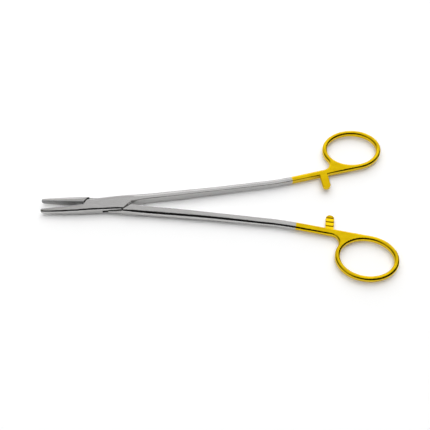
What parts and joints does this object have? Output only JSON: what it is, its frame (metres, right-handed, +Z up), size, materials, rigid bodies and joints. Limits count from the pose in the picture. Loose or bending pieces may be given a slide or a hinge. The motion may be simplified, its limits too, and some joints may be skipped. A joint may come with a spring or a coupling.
{
  "type": "surgical needle holder",
  "caption": "Box-lock needle holder with long slim shanks, ratchet bars, gold-plated finger rings and straight serrated jaws with brazed carbide inserts.",
  "frame": {"origin": "on the pivot's axis, in the plane of the box lock's underside", "axes": "+X from the jaws to the finger rings, +Y towards the box half's finger ring, +Z up along the pivot's axis"},
  "size_m": [0.1976, 0.0992, 0.006],
  "materials": {
    "satin_steel": "satin stainless steel; the straight ends of the shanks and the finger rings are polished and gold plated",
    "carbide": "fine ground tungsten carbide with cut serrations"
  },
  "bodies": {
    "box_side": {"box_half": "satin_steel", "pivot_pin": "satin_steel", "lower_jaw_insert": "carbide"},
    "through_side": {"through_half": "satin_steel", "upper_jaw_insert": "carbide"}
  },
  "joints": [
    {"name": "box_lock", "type": "hinge", "parent": "box_side", "child": "through_side", "pos_m": [0, 0, 0], "axis": [0, 0, 1], "range_deg": [-40, 8.1]}
  ]
}
